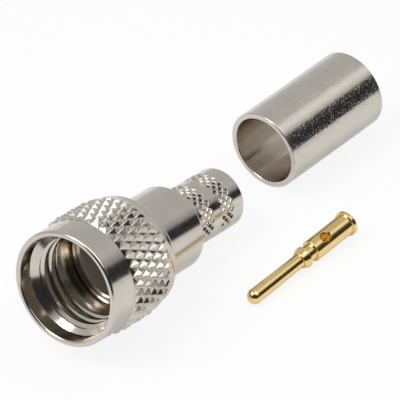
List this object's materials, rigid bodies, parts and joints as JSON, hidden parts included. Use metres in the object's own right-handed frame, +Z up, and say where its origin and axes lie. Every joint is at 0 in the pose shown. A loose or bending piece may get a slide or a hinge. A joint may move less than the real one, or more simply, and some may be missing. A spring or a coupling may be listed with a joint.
{
  "type": "mini-uhf crimp plug kit",
  "caption": "Coaxial crimp plug with a knurled coupling nut that spins on its body, lying beside its loose crimp ferrule and gold centre contact.",
  "frame": {"origin": "centre of the body's front rim on the plug's axis, the plane where the plug meets its socket", "axes": "+Y rearwards, towards the cable, along the plug's axis seen from above; +Z up from the surface that the pieces lie on; the plug's axis dips to the rear, as the plug rests on its nut and its stem's end"},
  "size_m": [0.0181, 0.0452, 0.0126],
  "materials": {
    "nickel_plate": "bright nickel plate",
    "gold_plate": "bright gold plate",
    "ptfe": "matt white",
    "spring_bronze": "plain drawn bronze"
  },
  "bodies": {
    "plug": {"connector_body": "nickel_plate", "retaining_ring": "spring_bronze", "insulator": "ptfe", "crimp_ferrule": "nickel_plate", "centre_contact": "gold_plate"},
    "nut": {"coupling_nut": "nickel_plate"}
  },
  "joints": [
    {"name": "nut_spin", "type": "hinge", "parent": "plug", "child": "nut", "pos_m": [0, 0, 0], "axis": [0, 0.9839, -0.1786], "continuous": true}
  ]
}
